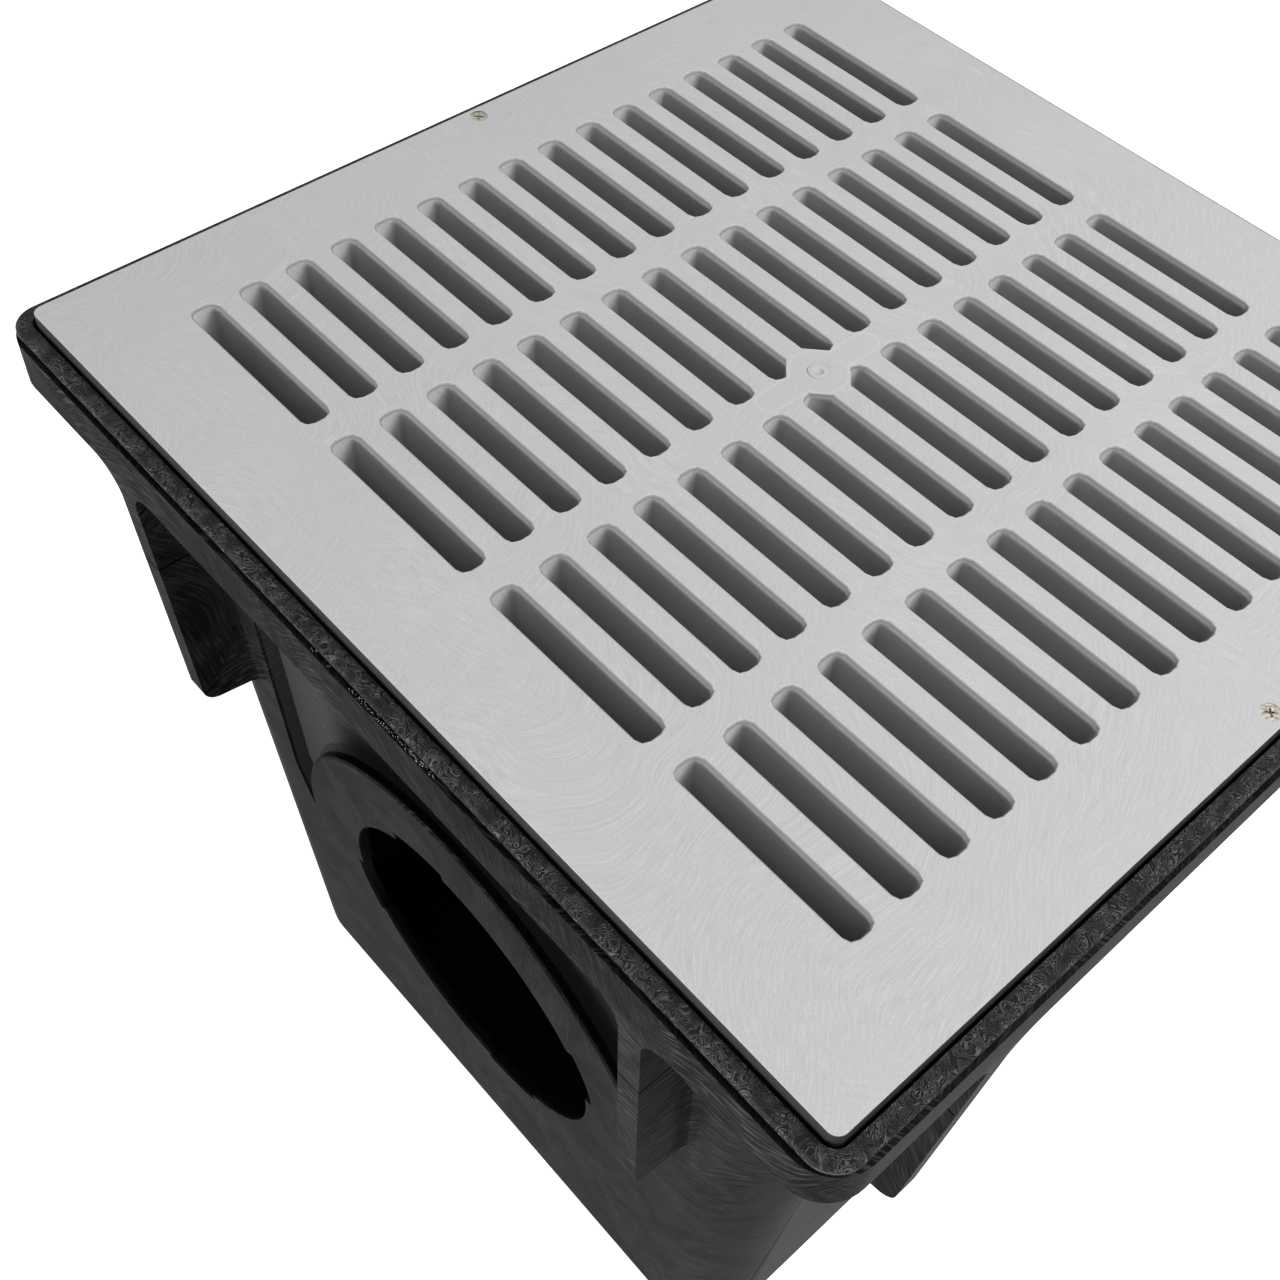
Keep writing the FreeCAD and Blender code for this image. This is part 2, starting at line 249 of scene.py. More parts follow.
def stroke_noise(tree, place, turn_deg, along, across, seed):
    """Noise that is long along one direction: its value is near 0.5, higher in a stroke."""
    mapping = add_node(tree, "ShaderNodeMapping", vector_type="POINT")
    mapping.inputs["Location"].default_value = (seed, seed, 0.0)
    mapping.inputs["Rotation"].default_value = (0.0, 0.0, math.radians(turn_deg))
    link(tree, place, mapping.inputs["Vector"])
    stretch = add_node(tree, "ShaderNodeVectorMath", operation="MULTIPLY")
    link(tree, mapping.outputs[0], stretch.inputs[0])
    stretch.inputs[1].default_value = (along, across, 1.0)
    noise = add_node(tree, "ShaderNodeTexNoise", noise_dimensions="2D", scale=1.0, detail=2.0,
                     roughness=0.65)
    link(tree, stretch.outputs[0], noise.inputs["Vector"])
    return noise.outputs["Fac"]


def make_brushed():
    """Masks for strokes, broad patches and soft mottling. Bend is how far strokes sweep, in metres."""
    tree, start, end = new_group(
        "brushed strokes",
        [("Place", "NodeSocketVector", None), ("Bend", "NodeSocketFloat", 0.08),
         ("Fineness", "NodeSocketFloat", 1.0)],
        [("Strokes", "NodeSocketFloat"), ("Patches", "NodeSocketFloat"), ("Mottle", "NodeSocketFloat")])
    slow = add_node(tree, "ShaderNodeTexNoise", noise_dimensions="2D", scale=9.0, detail=1.5,
                    roughness=0.45)
    link(tree, start.outputs["Place"], slow.inputs["Vector"])
    centred = add_node(tree, "ShaderNodeVectorMath", operation="SUBTRACT")
    link(tree, slow.outputs["Color"], centred.inputs[0])
    centred.inputs[1].default_value = (0.5, 0.5, 0.5)
    small = add_node(tree, "ShaderNodeVectorMath", operation="SCALE")
    link(tree, centred.outputs[0], small.inputs[0])
    link(tree, start.outputs["Bend"], small.inputs["Scale"])
    bent = add_node(tree, "ShaderNodeVectorMath", operation="ADD")
    link(tree, start.outputs["Place"], bent.inputs[0])
    link(tree, small.outputs[0], bent.inputs[1])
    sized = add_node(tree, "ShaderNodeVectorMath", operation="SCALE")
    link(tree, bent.outputs[0], sized.inputs[0])
    link(tree, start.outputs["Fineness"], sized.inputs["Scale"])
    patches = ramp_between(tree, slow.outputs["Fac"], 0.42, 0.60)
    first = stroke_noise(tree, sized.outputs[0], 62.0, 75.0, 1500.0, 0.0)
    second = stroke_noise(tree, sized.outputs[0], -18.0, 90.0, 1350.0, 3.7)
    link(tree, mix_numbers(tree, patches, first, second), end.inputs["Strokes"])
    link(tree, patches, end.inputs["Patches"])
    mottle = add_node(tree, "ShaderNodeTexNoise", noise_dimensions="2D", scale=30.0, detail=4.0,
                      roughness=0.62, distortion=0.8)
    link(tree, bent.outputs[0], mottle.inputs["Vector"])
    link(tree, mottle.outputs["Fac"], end.inputs["Mottle"])
    return tree


brushed = make_brushed()
print("group made:", brushed.name)

# %% [markdown]
# Where a thin wall fills last, the bubbles curl up instead, and leave a matted skin of small arcs
# one inside another, like fingerprints. Lines of equal value in a noise have that shape.

# %% Group: matted curls
RING_COUNT = 60.0  # how many radians of rings the noise goes through from 0 to 1


def make_curls():
    """A mask of fine arcs, one inside another."""
    tree, start, end = new_group(
        "matted curls", [("Place", "NodeSocketVector", None)], [("Curls", "NodeSocketFloat")])
    field = add_node(tree, "ShaderNodeTexNoise", noise_dimensions="2D", scale=165.0, detail=1.5,
                     roughness=0.5, distortion=1.6)
    link(tree, start.outputs["Place"], field.inputs["Vector"])
    rings = math_node(tree, "SINE", product(tree, field.outputs["Fac"], RING_COUNT))
    gaps = add_node(tree, "ShaderNodeTexNoise", noise_dimensions="2D", scale=140.0, detail=1.0)
    link(tree, start.outputs["Place"], gaps.inputs["Vector"])
    shown = ramp_between(tree, gaps.outputs["Fac"], 0.30, 0.60, 0.25, 1.0)
    lines = ramp_between(tree, rings, 0.1, 0.95)
    link(tree, product(tree, lines, shown), end.inputs["Curls"])
    return tree


curls = make_curls()
print("group made:", curls.name)

# %% [markdown]
# ## Helpers for materials
# Every material starts the same way: a Principled shader, an output, and the Object coordinates,
# which stay with the part. The other helpers put a group in a material, and measure where a point
# is, so that one material can tell the parts of a moulding apart.

# %% Helpers for materials
PLASTIC_IOR = 1.49


def new_material(name):
    material = bpy.data.materials.new(name)
    material.use_nodes = True
    tree = material.node_tree
    tree.nodes.clear()
    shader = tree.nodes.new("ShaderNodeBsdfPrincipled")
    output = tree.nodes.new("ShaderNodeOutputMaterial")
    link(tree, shader.outputs[0], output.inputs["Surface"])
    place = tree.nodes.new("ShaderNodeTexCoord")
    return material, tree, shader, place


def place_group(tree, group, **sources):
    """Put a node group in a tree and feed its inputs from sockets or plain numbers."""
    node = tree.nodes.new("ShaderNodeGroup")
    node.node_tree = group
    for name, source in sources.items():
        if isinstance(source, (int, float)):
            node.inputs[name].default_value = source
        else:
            link(tree, source, node.inputs[name])
    return node


def add_bump(tree, height, strength, distance):
    bump = add_node(tree, "ShaderNodeBump", strength=strength, distance=distance)
    link(tree, height, bump.inputs["Height"])
    return bump.outputs["Normal"]


def split_vector(tree, vector):
    split = tree.nodes.new("ShaderNodeSeparateXYZ")
    link(tree, vector, split.inputs[0])
    return split.outputs["X"], split.outputs["Y"], split.outputs["Z"]


def length_of(tree, first, second):
    """Length of the flat vector (first, second)."""
    squares = math_node(tree, "ADD", product(tree, first, first), product(tree, second, second))
    return math_node(tree, "SQRT", squares)


def beyond(tree, value, limit, soft):
    """1 where the size of value is above limit, fading over soft."""
    return ramp_between(tree, size_of(tree, value), limit - soft, limit + soft)


print("material helpers ready")

# %% [markdown]
# ## Pale plastic of the grate
# The grate is light grey. Its strokes are only a little lighter or darker than the ground, and
# broad areas lean to a warmer or a cooler grey. Round the gate, where the plastic entered the mould,
# the skin is smooth, and a faint line marks where that smooth zone ends.

# %% Skin of the grate
GRATE_WARM = (0.560, 0.547, 0.548)
GRATE_COOL = (0.532, 0.536, 0.546)
GRATE_PALE = (0.690, 0.690, 0.685)
GRATE_DARK = (0.440, 0.440, 0.440)
PALE_SHARE = 0.30
DARK_SHARE = 0.28
GRAIN_SHARE = 0.9
GATE_ARM_M = 0.028
GATE_ARM_HALF_M = 0.0055
GATE_DISC_M = 0.0125
GATE_SOFT_M = 0.0009
GATE_LINE_SHARE = 1.3


def outside_gate_zone(tree, x, y):
    """0 in a disc round the gate and in a rounded arm along the bar on each side of it, else 1."""
    past_arm = math_node(tree, "MAXIMUM", minus(tree, size_of(tree, y), GATE_ARM_M), 0.0)
    from_arm = minus(tree, length_of(tree, x, past_arm), GATE_ARM_HALF_M)
    from_disc = minus(tree, length_of(tree, x, y), GATE_DISC_M)
    nearest = math_node(tree, "MINIMUM", from_arm, from_disc)
    return ramp_between(tree, nearest, -GATE_SOFT_M, GATE_SOFT_M)


def grate_skin(tree, flat, skin, outside_gate):
    """Warm and cool grey with strokes, a fine grain and the outline of the gate's zone."""
    ground = mix_colours(tree, skin.outputs["Patches"], GRATE_COOL, GRATE_WARM)
    grain = add_node(tree, "ShaderNodeTexNoise", noise_dimensions="2D", scale=1100.0, detail=0.0)
    link(tree, flat.outputs["Place"], grain.inputs["Vector"])
    speckle = ramp_between(tree, grain.outputs["Fac"], 0.52, 0.30, 0.0, GRAIN_SHARE)
    strokes = skin.outputs["Strokes"]
    lighter = product(tree, ramp_between(tree, strokes, 0.50, 0.70), outside_gate)
    darker = product(tree, ramp_between(tree, strokes, 0.50, 0.32), outside_gate)
    darker = math_node(tree, "ADD", darker, speckle)
    pale = mix_colours(tree, product(tree, lighter, PALE_SHARE), ground, GRATE_PALE)
    toned = mix_colours(tree, product(tree, darker, DARK_SHARE), pale, GRATE_DARK)
    zone_line = product(tree, outside_gate, minus(tree, 1.0, outside_gate), GATE_LINE_SHARE)
    return mix_colours(tree, zone_line, toned, GRATE_PALE)


gate_zone_mm = 2000.0 * (GATE_ARM_M + GATE_ARM_HALF_M)
print("the smooth zone round the gate is %.0f mm long" % gate_zone_mm)

# %% [markdown]
# Shade is painted into the slots: their long sides are painted darker from just under the surface
# down, and the soft lip round each slot gets a little painted shade too. The upright edge of the
# plate is painted dark. The way a face points and its height tell these places apart.

# %% Material: grate plastic
GRATE_GLOSS = 0.15
# The plate's upright edge is painted in this dark colour.
PLATE_EDGE_DARK = (0.036, 0.032, 0.031)
# Painted shade for the long sides of the slots, below the top.
SLOT_SIDE_SHADE = (0.400, 0.403, 0.420)
# Painted shade on the soft lip round each slot.
LIP_SHADE = (0.330, 0.330, 0.334)
PLATE_HALF_M = 0.225
PLATE_TOP_M = 0.468
EDGE_BAND_M = 0.005
LIP_DEPTH_M = 0.0016
SLOT_SHADE_M = (0.012, 0.001)  # depths below the top where the sides are fully and not yet darker


def make_grate_plastic():
    material, tree, shader, place = new_material("grate_plastic")
    flat = place_group(tree, flat_place, Vector=place.outputs["Object"], Normal=place.outputs["Normal"])
    skin = place_group(tree, brushed, Place=flat.outputs["Place"], Bend=0.085)
    x, y, z = split_vector(tree, place.outputs["Object"])
    _, facing_y, facing_z = split_vector(tree, place.outputs["Normal"])
    colour = grate_skin(tree, flat, skin, outside_gate_zone(tree, x, y))
    low, high = (PLATE_TOP_M - depth for depth in SLOT_SHADE_M)
    # Painted shade: the long sides of the slots darken with depth below the top.
    painted_slot_shade = product(tree, ramp_between(tree, z, low, high, 1.0, 0.0), beyond(tree, facing_y, 0.6, 0.2))
    colour = mix_colours(tree, painted_slot_shade, colour, SLOT_SIDE_SHADE)
    # Painted shade: the soft lip round each slot is drawn darker.
    painted_lip_shade = product(tree, ramp_between(tree, facing_z, 0.80, 0.97, 1.0, 0.0),
                  math_node(tree, "GREATER_THAN", z, PLATE_TOP_M - LIP_DEPTH_M))
    colour = mix_colours(tree, painted_lip_shade, colour, LIP_SHADE)
    # The upright edge of the plate is painted dark.
    limit = PLATE_HALF_M - EDGE_BAND_M
    at_edge = math_node(tree, "MAXIMUM", beyond(tree, x, limit, 0.0002), beyond(tree, y, limit, 0.0002))
    upright_edge = product(tree, ramp_between(tree, facing_z, 0.35, 0.60, 1.0, 0.0), at_edge)
    link(tree, mix_colours(tree, upright_edge, colour, PLATE_EDGE_DARK), shader.inputs["Base Color"])
    dullness = ramp_between(tree, skin.outputs["Strokes"], 0.3, 0.7, 0.40, 0.58)
    link(tree, dullness, shader.inputs["Roughness"])
    shader.inputs["IOR"].default_value = PLASTIC_IOR
    shader.inputs["Specular IOR Level"].default_value = GRATE_GLOSS
    link(tree, add_bump(tree, skin.outputs["Strokes"], 0.14, 0.0003), shader.inputs["Normal"])
    return material


grate_plastic = make_grate_plastic()
print("material made:", grate_plastic.name)

# %% [markdown]
# ## Black plastic of the basin
# The same foamed plastic, with carbon black in it. On the rim the skin is matted, on the collar and
# the fins it is brushed, and lower down the walls are smoother. The height of a point above the
# ground tells these apart, so one material covers the whole moulding.

# %% Skin of the basin
RIM_TOP_M = 0.4600
CURL_HEIGHT = 0.95
FIN_EXTRA = 0.10


def basin_texture(tree, flat, skin, z, on_rim, on_fin):
    """How raised and pale the skin is: strokes on the walls, stronger high up, and curls on the rim."""
    matted = place_group(tree, curls, Place=flat.outputs["Place"])
    strokes = ramp_between(tree, skin.outputs["Strokes"], 0.46, 0.72)
    high_up = ramp_between(tree, z, 0.15, 0.45, 0.12, 0.34)
    strength = math_node(tree, "ADD", high_up, product(tree, on_fin, FIN_EXTRA))
    uneven = ramp_between(tree, skin.outputs["Patches"], 0.0, 1.0, 0.45, 1.25)
    brushed_part = product(tree, strokes, product(tree, strength, uneven))
    return mix_numbers(tree, on_rim, brushed_part, product(tree, matted.outputs["Curls"], CURL_HEIGHT))


print("curls from %.0f mm above the ground" % (RIM_TOP_M * 1000.0))

# %% [markdown]
# Fine dark lines show where the parts of the mould met: upright ones on two of the walls, and a
# level one across each fin. A line is where a coordinate is close to a fixed value.

# %% Lines left by the mould
WALL_SEAM_M = 0.1555
SEAM_HALF_M = 0.00022
FIN_SEAM_Z_M = 0.3850
FIN_SEAM_HALF_M = 0.000352
X_WALL_M = 0.1700


def near(tree, value, at, half):
    """1 where value lies within half of at."""
    gap = size_of(tree, minus(tree, value, at))
    return ramp_between(tree, gap, half, half * 2.0, 1.0, 0.0)


def mould_seams(tree, across_x, across_y, z, depth, below_collar, on_fin):
    """The upright lines lie on a wall's face only, not on the side of a fin."""
    on_x_wall = product(tree, below_collar, math_node(tree, "GREATER_THAN", across_x, X_WALL_M))
    on_face = math_node(tree, "GREATER_THAN", depth, -0.0010)
    upright = product(tree, near(tree, across_y, WALL_SEAM_M, SEAM_HALF_M), on_face, on_x_wall)
    level = product(tree, near(tree, z, FIN_SEAM_Z_M, FIN_SEAM_HALF_M), on_fin)
    return math_node(tree, "MAXIMUM", upright, level)


print("mould lines %.2f mm wide" % (SEAM_HALF_M * 2000.0))

# %% [markdown]
# Shade is painted into the basin: inside it the skin is drawn blacker, and so is the step round
# each half-round pad, where it lies in deep shadow. On the left of the pad that painted shade
# fades, and a smooth part of the set-back wall is painted paler, as painted light that lifts its
# shade. The walls lean, so the depth behind a wall's face is measured from a limit that leans
# with it.

# %% Material: basin plastic
BASIN_BLACK = (0.0065, 0.0065, 0.0067)
BASIN_MOTTLE = (0.0130, 0.0130, 0.0133)
# Painted light on the left part of the set-back wall.
SETBACK_LIGHT_PAINT = (0.0360, 0.0360, 0.0364)
RIM_BLACK = (0.0080, 0.0080, 0.0082)
BASIN_PALE = (0.110, 0.110, 0.112)
# Painted shade: the black inside the basin and on the step round each pad.
SHADE_PAINT_BLACK = (0.003, 0.003, 0.003)
SEAM_BLACK = (0.001, 0.001, 0.001)
BASIN_GLOSS = 0.003
RIM_GLOSS = 0.10
WALL_AT_GROUND_M = 0.1798
WALL_LEAN = 0.05696
WALL_HALF_TOP_M = 0.2066
COLLAR_LOW_M = 0.4376
INSIDE_DEPTH_M = (0.0140, 0.0150)
BEHIND_FACE_M = (0.0008, 0.0022)
PAD_RADIUS_M = 0.130
PAD_CENTRE_M = 0.1765
STEP_FADE_M = (0.010, 0.025)  # distances from the pad's edge
LEFT_FADE_M = (-0.112, -0.075)  # places along the wall
SETBACK_HALF_M = 0.139


def place_to_right(tree, x, y):
    """Place along the nearest wall, positive to the right as seen from outside."""
    on_x_side = math_node(tree, "GREATER_THAN", size_of(tree, x), size_of(tree, y))
    to_right_x = product(tree, y, math_node(tree, "SIGN", x))
    to_right_y = product(tree, x, product(tree, math_node(tree, "SIGN", y), -1.0))
    return mix_numbers(tree, on_x_side, to_right_y, to_right_x)


def make_basin_plastic():
    material, tree, shader, place = new_material("basin_plastic")
    flat = place_group(tree, flat_place, Vector=place.outputs["Object"], Normal=place.outputs["Normal"])
    skin = place_group(tree, brushed, Place=flat.outputs["Place"], Bend=0.07, Fineness=0.7)
    x, y, z = split_vector(tree, place.outputs["Object"])
    across_x, across_y = size_of(tree, x), size_of(tree, y)
    reach = math_node(tree, "MAXIMUM", across_x, across_y)
    along = math_node(tree, "MINIMUM", across_x, across_y)
    wall_face = math_node(tree, "ADD", product(tree, z, WALL_LEAN), WALL_AT_GROUND_M)
    depth = minus(tree, wall_face, reach)

    # Which part of the moulding a point is on.
    below_collar = math_node(tree, "LESS_THAN", z, COLLAR_LOW_M)
    on_rim = ramp_between(tree, z, RIM_TOP_M - 0.0005, RIM_TOP_M + 0.0005)
    on_fin = product(tree, math_node(tree, "GREATER_THAN", reach, WALL_HALF_TOP_M), below_collar)
    # Painted shade inside the basin, below the collar.
    inside_shade = product(tree, ramp_between(tree, depth, *INSIDE_DEPTH_M), below_collar)
    from_pad = length_of(tree, along, minus(tree, z, PAD_CENTRE_M))
    near_pad, off_pad = (PAD_RADIUS_M + fade for fade in STEP_FADE_M)
    around_pad = ramp_between(tree, from_pad, near_pad, off_pad, 1.0, 0.0)
    behind_face = ramp_between(tree, depth, *BEHIND_FACE_M)
    not_left = ramp_between(tree, place_to_right(tree, x, y), *LEFT_FADE_M)
    # Painted shade on the step round the pad, where it lies in deep shadow.
    step_shade = product(tree, around_pad, behind_face, not_left)
    in_setback = math_node(tree, "LESS_THAN", along, SETBACK_HALF_M)
    # Painted light: the left part of the set-back wall is drawn paler to lift its shade.
    painted_light_on_setback = product(tree, behind_face, in_setback, minus(tree, 1.0, not_left))
    texture = basin_texture(tree, flat, skin, z, on_rim, on_fin)
    seams = mould_seams(tree, across_x, across_y, z, depth, below_collar, on_fin)

    # Each part's black over the one before.
    mottle = ramp_between(tree, skin.outputs["Mottle"], 0.35, 0.65)
    colour = mix_colours(tree, mottle, BASIN_BLACK, BASIN_MOTTLE)
    # The set-back's pale is painted light, and the black inside and on the step is painted shade.
    for mask, black in ((painted_light_on_setback, SETBACK_LIGHT_PAINT), (on_rim, RIM_BLACK), (texture, BASIN_PALE),
                        (math_node(tree, "MAXIMUM", inside_shade, step_shade), SHADE_PAINT_BLACK), (seams, SEAM_BLACK)):
        colour = mix_colours(tree, mask, colour, black)
    link(tree, colour, shader.inputs["Base Color"])
    dullness = ramp_between(tree, texture, 0.0, 0.5, 0.40, 0.60)
    link(tree, mix_numbers(tree, seams, dullness, 0.95), shader.inputs["Roughness"])
    shader.inputs["IOR"].default_value = PLASTIC_IOR
    shader.inputs["Specular IOR Level"].default_value = BASIN_GLOSS
    link(tree, mix_numbers(tree, on_rim, BASIN_GLOSS, RIM_GLOSS), shader.inputs["Specular IOR Level"])
    height = minus(tree, texture, product(tree, seams, 0.8))
    link(tree, add_bump(tree, height, 0.5, 0.0006), shader.inputs["Normal"])
    return material


basin_plastic = make_basin_plastic()
print("material made:", basin_plastic.name)

# %% [markdown]
# ## Steel of the screws
# Stainless screws are a dull grey metal with fine turning marks round the head. Here an even,
# fine grain of noise stands in for them and varies the tone and the roughness.

# %% Material: screw steel
STEEL_GREY = (0.56, 0.52, 0.47)
STEEL_DARK = (0.24, 0.22, 0.19)


def make_screw_steel():
    material, tree, shader, place = new_material("screw_steel")
    grain = add_node(tree, "ShaderNodeTexNoise", noise_dimensions="3D", scale=900.0, detail=2.0)
    link(tree, place.outputs["Object"], grain.inputs["Vector"])
    worn = ramp_between(tree, grain.outputs["Fac"], 0.35, 0.7)
    link(tree, mix_colours(tree, worn, STEEL_DARK, STEEL_GREY), shader.inputs["Base Color"])
    shader.inputs["Metallic"].default_value = 1.0
    link(tree, ramp_between(tree, worn, 0.0, 1.0, 0.45, 0.3), shader.inputs["Roughness"])
    link(tree, add_bump(tree, grain.outputs["Fac"], 0.2, 0.0001), shader.inputs["Normal"])
    return material


screw_steel = make_screw_steel()
print("material made:", screw_steel.name)

# %% [markdown]
# ## Soft edges
# A moulded part has no knife edges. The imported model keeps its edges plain, so each moulding is
# copied here, its loose triangles are joined and its flat faces are merged, and a Bevel modifier
# rounds the edges that are sharper than a given angle. A Weighted Normal modifier lets the large
# faces set the shading, so that flats stay flat and the small facets of a curve run together. The
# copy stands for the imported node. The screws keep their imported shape.

# %% Copies with rounded edges
SAME_POINT_M = 2e-6
FLAT_DEG = 0.6
BEVEL_SEGMENTS = 2


def soft_edged_copy(node_name, piece_name, material, width, sharp_deg):
    """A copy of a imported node. Edges sharper than sharp_deg are rounded by width metres."""
    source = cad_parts[node_name]
    mesh = source.data.copy()
    mesh.name = piece_name
    shape = bmesh.new()
    shape.from_mesh(mesh)
    bmesh.ops.remove_doubles(shape, verts=shape.verts, dist=SAME_POINT_M)
    bmesh.ops.dissolve_limit(
        shape, angle_limit=math.radians(FLAT_DEG), verts=shape.verts, edges=shape.edges,
        delimit={"NORMAL"})
    for face in shape.faces:
        face.smooth = True
    shape.to_mesh(mesh)
    shape.free()
    mesh.materials.clear()
    mesh.materials.append(material)
    piece = bpy.data.objects.new(piece_name, mesh)
    scene.collection.objects.link(piece)
    bevel = piece.modifiers.new("soft edges", "BEVEL")
    bevel.width = width
    bevel.segments = BEVEL_SEGMENTS
    bevel.limit_method = "ANGLE"
    bevel.angle_limit = math.radians(sharp_deg)
    bevel.use_clamp_overlap = True
    flats = piece.modifiers.new("flat faces", "WEIGHTED_NORMAL")
    flats.mode = "FACE_AREA"
    flats.weight = 50
    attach(piece, "root")
    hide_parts(node_name)
    return piece


for name, material in (
        ("basin", basin_plastic), ("grate", grate_plastic), ("grate_screws", screw_steel)):
    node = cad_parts[name]
    node.data.materials.clear()
    node.data.materials.append(material)

grate_piece = soft_edged_copy("grate", "slotted_grate", grate_plastic, 0.0004, 50.0)
basin_piece = soft_edged_copy("basin", "basin_moulding", basin_plastic, 0.0008, 25.0)
print("faces:", len(grate_piece.data.polygons), len(basin_piece.data.polygons))

# %% [markdown]
# ## Flash in the groove
# Where the mould leaked a little, crumbs of plastic are left in the groove under the rim. They are
# many and alike, so Geometry Nodes scatter them: points along a line, each moved and sized by chance.

# %% Crumbs of flash
FLASH_Z_M = 0.4592
FLASH_Y_M = -0.2341
FLASH_RUNS = (  # first and last place along X, how many, largest radius
    (0.0035, 0.0500, 110, 0.00034),
    (0.0360, 0.0445, 16, 0.00055),
    (-0.0190, -0.0176, 5, 0.00045),
    (-0.0098, -0.0086, 3, 0.00032),
)
FIRST_SEED = 3
FLASH_DARK = (0.012, 0.012, 0.012)
FLASH_PALE = (0.30, 0.30, 0.30)
CRUMB_SHIFT_M = ((-0.0008, -0.0006, 0.0), (0.0008, 0.0009, 0.0007))
CRUMB_STRETCH = ((0.35, 0.30, 0.25), (1.3, 0.8, 0.7))
FULL_TURNS = ((0.0, 0.0, 0.0), (math.tau, math.tau, math.tau))


def make_flash_material():
    material, tree, shader, place = new_material("flash_plastic")
    grain = add_node(tree, "ShaderNodeTexNoise", noise_dimensions="3D", scale=1500.0, detail=1.0)
    link(tree, place.outputs["Object"], grain.inputs["Vector"])
    tone = ramp_between(tree, grain.outputs["Fac"], 0.4, 0.62)
    link(tree, mix_colours(tree, tone, FLASH_DARK, FLASH_PALE), shader.inputs["Base Color"])
    shader.inputs["Roughness"].default_value = 0.35
    shader.inputs["IOR"].default_value = PLASTIC_IOR
    return material


def random_vector(tree, seed, low, high):
    """A vector for each point, drawn between two corners."""
    node = tree.nodes.new("FunctionNodeRandomValue")
    node.data_type = "FLOAT_VECTOR"
    node.inputs[0].default_value = low
    node.inputs[1].default_value = high
    link(tree, seed, node.inputs["Seed"])
    return node.outputs[0]


def make_crumb_scatter():
    """Geometry node group: crumbs along a line in X."""
    tree = bpy.data.node_groups.new("crumb scatter", "GeometryNodeTree")
    for name, kind, value in (
            ("First X", "NodeSocketFloat", 0.0), ("Last X", "NodeSocketFloat", 0.05),
            ("Count", "NodeSocketInt", 40), ("Largest radius", "NodeSocketFloat", 0.0005),
            ("Seed", "NodeSocketInt", 1), ("Material", "NodeSocketMaterial", None)):
        socket = tree.interface.new_socket(name, in_out="INPUT", socket_type=kind)
        if value is not None:
            socket.default_value = value
    tree.interface.new_socket("Geometry", in_out="OUTPUT", socket_type="NodeSocketGeometry")
    start = tree.nodes.new("NodeGroupInput")
    end = tree.nodes.new("NodeGroupOutput")
    first = tree.nodes.new("ShaderNodeCombineXYZ")
    last = tree.nodes.new("ShaderNodeCombineXYZ")
    for corner, source in ((first, "First X"), (last, "Last X")):
        link(tree, start.outputs[source], corner.inputs["X"])
        corner.inputs["Y"].default_value = FLASH_Y_M
        corner.inputs["Z"].default_value = FLASH_Z_M
    line = tree.nodes.new("GeometryNodeMeshLine")
    line.mode = "END_POINTS"
    line.count_mode = "TOTAL"
    link(tree, start.outputs["Count"], line.inputs["Count"])
    link(tree, first.outputs[0], line.inputs["Start Location"])
    link(tree, last.outputs[0], line.inputs["Offset"])
    seed = start.outputs["Seed"]
    moved = tree.nodes.new("GeometryNodeSetPosition")
    link(tree, line.outputs["Mesh"], moved.inputs["Geometry"])
    link(tree, random_vector(tree, seed, *CRUMB_SHIFT_M), moved.inputs["Offset"])
    crumb = tree.nodes.new("GeometryNodeMeshIcoSphere")
    crumb.inputs["Radius"].default_value = 1.0
    crumb.inputs["Subdivisions"].default_value = 2
    scaled = tree.nodes.new("ShaderNodeVectorMath")
    scaled.operation = "SCALE"
    link(tree, random_vector(tree, seed, *CRUMB_STRETCH), scaled.inputs[0])
    link(tree, start.outputs["Largest radius"], scaled.inputs["Scale"])
    placed = tree.nodes.new("GeometryNodeInstanceOnPoints")
    link(tree, moved.outputs["Geometry"], placed.inputs["Points"])
    link(tree, crumb.outputs["Mesh"], placed.inputs["Instance"])
    link(tree, scaled.outputs[0], placed.inputs["Scale"])
    link(tree, random_vector(tree, seed, *FULL_TURNS), placed.inputs["Rotation"])
    real = tree.nodes.new("GeometryNodeRealizeInstances")
    link(tree, placed.outputs["Instances"], real.inputs["Geometry"])
    finish = tree.nodes.new("GeometryNodeSetMaterial")
    link(tree, real.outputs["Geometry"], finish.inputs["Geometry"])
    link(tree, start.outputs["Material"], finish.inputs["Material"])
    link(tree, finish.outputs["Geometry"], end.inputs["Geometry"])
    return tree


def plain_copy(carrier, name):
    """The evaluated mesh of an object with modifiers, as a new plain object."""
    bpy.context.view_layer.update()
    evaluated = carrier.evaluated_get(bpy.context.evaluated_depsgraph_get())
    mesh = bpy.data.meshes.new_from_object(evaluated)
    mesh.name = name
    piece = bpy.data.objects.new(name, mesh)
    scene.collection.objects.link(piece)
    bpy.data.objects.remove(carrier)
    return piece


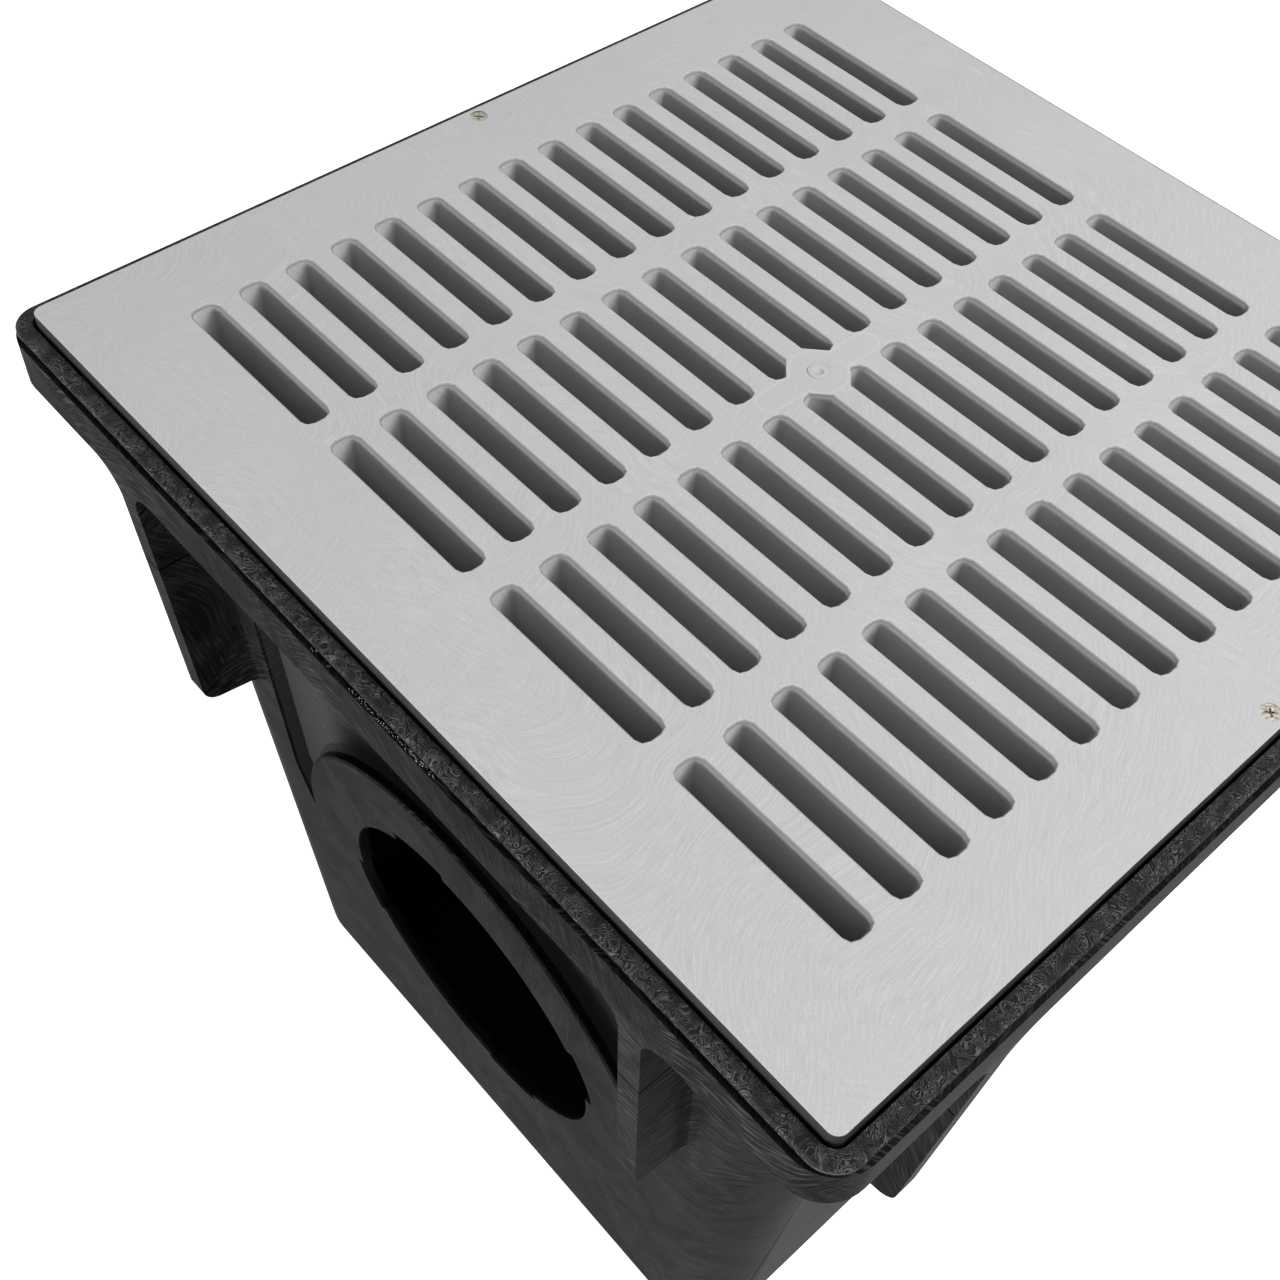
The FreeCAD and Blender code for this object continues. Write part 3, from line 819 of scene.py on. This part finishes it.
def make_flash():
    """Run the scatter once for each run of crumbs, and join the results in one piece."""
    tree = make_crumb_scatter()
    material = make_flash_material()
    names = {item.name: item.identifier for item in tree.interface.items_tree
             if item.in_out == "INPUT"}
    joined = bmesh.new()
    for seed, (first, last, count, radius) in enumerate(FLASH_RUNS, FIRST_SEED):
        carrier = bpy.data.objects.new("crumbs", bpy.data.meshes.new("crumbs"))
        scene.collection.objects.link(carrier)
        scatter = carrier.modifiers.new("scatter", "NODES")
        scatter.node_group = tree
        for name, value in (("First X", first), ("Last X", last), ("Count", count),
                            ("Largest radius", radius), ("Seed", seed), ("Material", material)):
            scatter[names[name]] = value
        part = plain_copy(carrier, "crumb_run")
        joined.from_mesh(part.data)
        bpy.data.objects.remove(part)
    mesh = bpy.data.meshes.new("groove_flash")
    joined.to_mesh(mesh)
    joined.free()
    mesh.materials.append(material)
    piece = bpy.data.objects.new("groove_flash", mesh)
    scene.collection.objects.link(piece)
    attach(piece, "root")
    return piece


flash = make_flash()
print("faces of flash:", len(flash.data.polygons))

# %% [markdown]
# ## The studio
# The photograph has a white ground and a soft, even light. A large floor and a plain world give
# that. What the camera, shiny surfaces and clear ones see of them is nearly white by its own
# colour, and the light on the part stays moderate.

# %% Floor and world
FLOOR_HALF_M = 6.0
FLOOR_DROP_M = 0.0002  # keeps the underside of the basin clear of the floor
FLOOR_GREY = (0.72, 0.72, 0.72)
FLOOR_GLOW = 0.84
WORLD_LIGHT = 0.16
WHITE = (1.0, 1.0, 1.0, 1.0)


def sees_white(tree):
    """1 for rays from the camera, from a shiny surface or through a clear one."""
    rays = tree.nodes.new("ShaderNodeLightPath")
    seen = math_node(
        tree, "MAXIMUM", rays.outputs["Is Glossy Ray"], rays.outputs["Is Transmission Ray"])
    return math_node(tree, "MAXIMUM", seen, rays.outputs["Is Camera Ray"])


def choose_shader(tree, factor, first, second, output):
    node = tree.nodes.new("ShaderNodeMixShader")
    link(tree, factor, node.inputs["Fac"])
    link(tree, first.outputs[0], node.inputs[1])
    link(tree, second.outputs[0], node.inputs[2])
    link(tree, node.outputs[0], output.inputs["Surface"])


def make_floor():
    mesh = bpy.data.meshes.new("studio_floor")
    half = FLOOR_HALF_M
    corners = [(-half, -half, 0), (half, -half, 0), (half, half, 0), (-half, half, 0)]
    mesh.from_pydata(corners, [], [(0, 1, 2, 3)])
    floor = bpy.data.objects.new("studio_floor", mesh)
    floor.location.z = cad_low.z - FLOOR_DROP_M
    scene.collection.objects.link(floor)
    material = bpy.data.materials.new("studio_floor")
    material.use_nodes = True
    tree = material.node_tree
    tree.nodes.clear()
    matt = add_node(tree, "ShaderNodeBsdfDiffuse")
    matt.inputs["Color"].default_value = (*FLOOR_GREY, 1.0)
    glow = add_node(tree, "ShaderNodeEmission")
    glow.inputs["Strength"].default_value = FLOOR_GLOW
    seen = tree.nodes.new("ShaderNodeAddShader")
    link(tree, matt.outputs[0], seen.inputs[0])
    link(tree, glow.outputs[0], seen.inputs[1])
    output = tree.nodes.new("ShaderNodeOutputMaterial")
    choose_shader(tree, sees_white(tree), matt, seen, output)
    mesh.materials.append(material)
    floor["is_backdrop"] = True
    return floor


def make_world():
    world = bpy.data.worlds.new("studio_world")
    scene.world = world
    world.use_nodes = True
    tree = world.node_tree
    tree.nodes.clear()
    light = add_node(tree, "ShaderNodeBackground")
    light.inputs["Color"].default_value = WHITE
    light.inputs["Strength"].default_value = WORLD_LIGHT
    white = add_node(tree, "ShaderNodeBackground")
    white.inputs["Color"].default_value = WHITE
    white.inputs["Strength"].default_value = 1.0
    output = tree.nodes.new("ShaderNodeOutputWorld")
    choose_shader(tree, sees_white(tree), light, white, output)
    return world


make_floor()
make_world()
print("floor and world ready")

# %% [markdown]
# ## Lamps
# Three square area lamps. The key comes from the right, behind the part. A weak one overhead fills
# the top. A low one in front lights the black walls, which would otherwise show hardly anything.

# %% Lamps


def add_lamp(name, place, aim, size, power):
    """A square area lamp that points at aim."""
    data = bpy.data.lights.new(name, "AREA")
    data.shape = "SQUARE"
    data.size = size
    data.energy = power
    lamp = bpy.data.objects.new(name, data)
    lamp.location = place
    direction = Vector(aim) - Vector(place)
    lamp.rotation_euler = direction.to_track_quat("-Z", "Y").to_euler()
    scene.collection.objects.link(lamp)
    return lamp


add_lamp("key_lamp", (1.45, 0.80, 2.1), (0, 0, 0.3), 1.4, 57.0)
add_lamp("top_lamp", (0.2, 0.8, 2.4), (0, 0, 0.4), 1.6, 5.0)
add_lamp("low_lamp", (0.2, -2.3, 0.60), (0, -0.2, 0.25), 1.2, 60.0)
scene.view_settings.view_transform = "Standard"

# %% [markdown]
# ## Sizes, and the end of the script
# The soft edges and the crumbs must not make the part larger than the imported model, so both boxes
# are written down and can be compared.

# %% Sizes
low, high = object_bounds()
for name, box in (("CAD", cad_high - cad_low), ("visual", high - low)):
    print(name, "box:", [round(v, 4) for v in box])
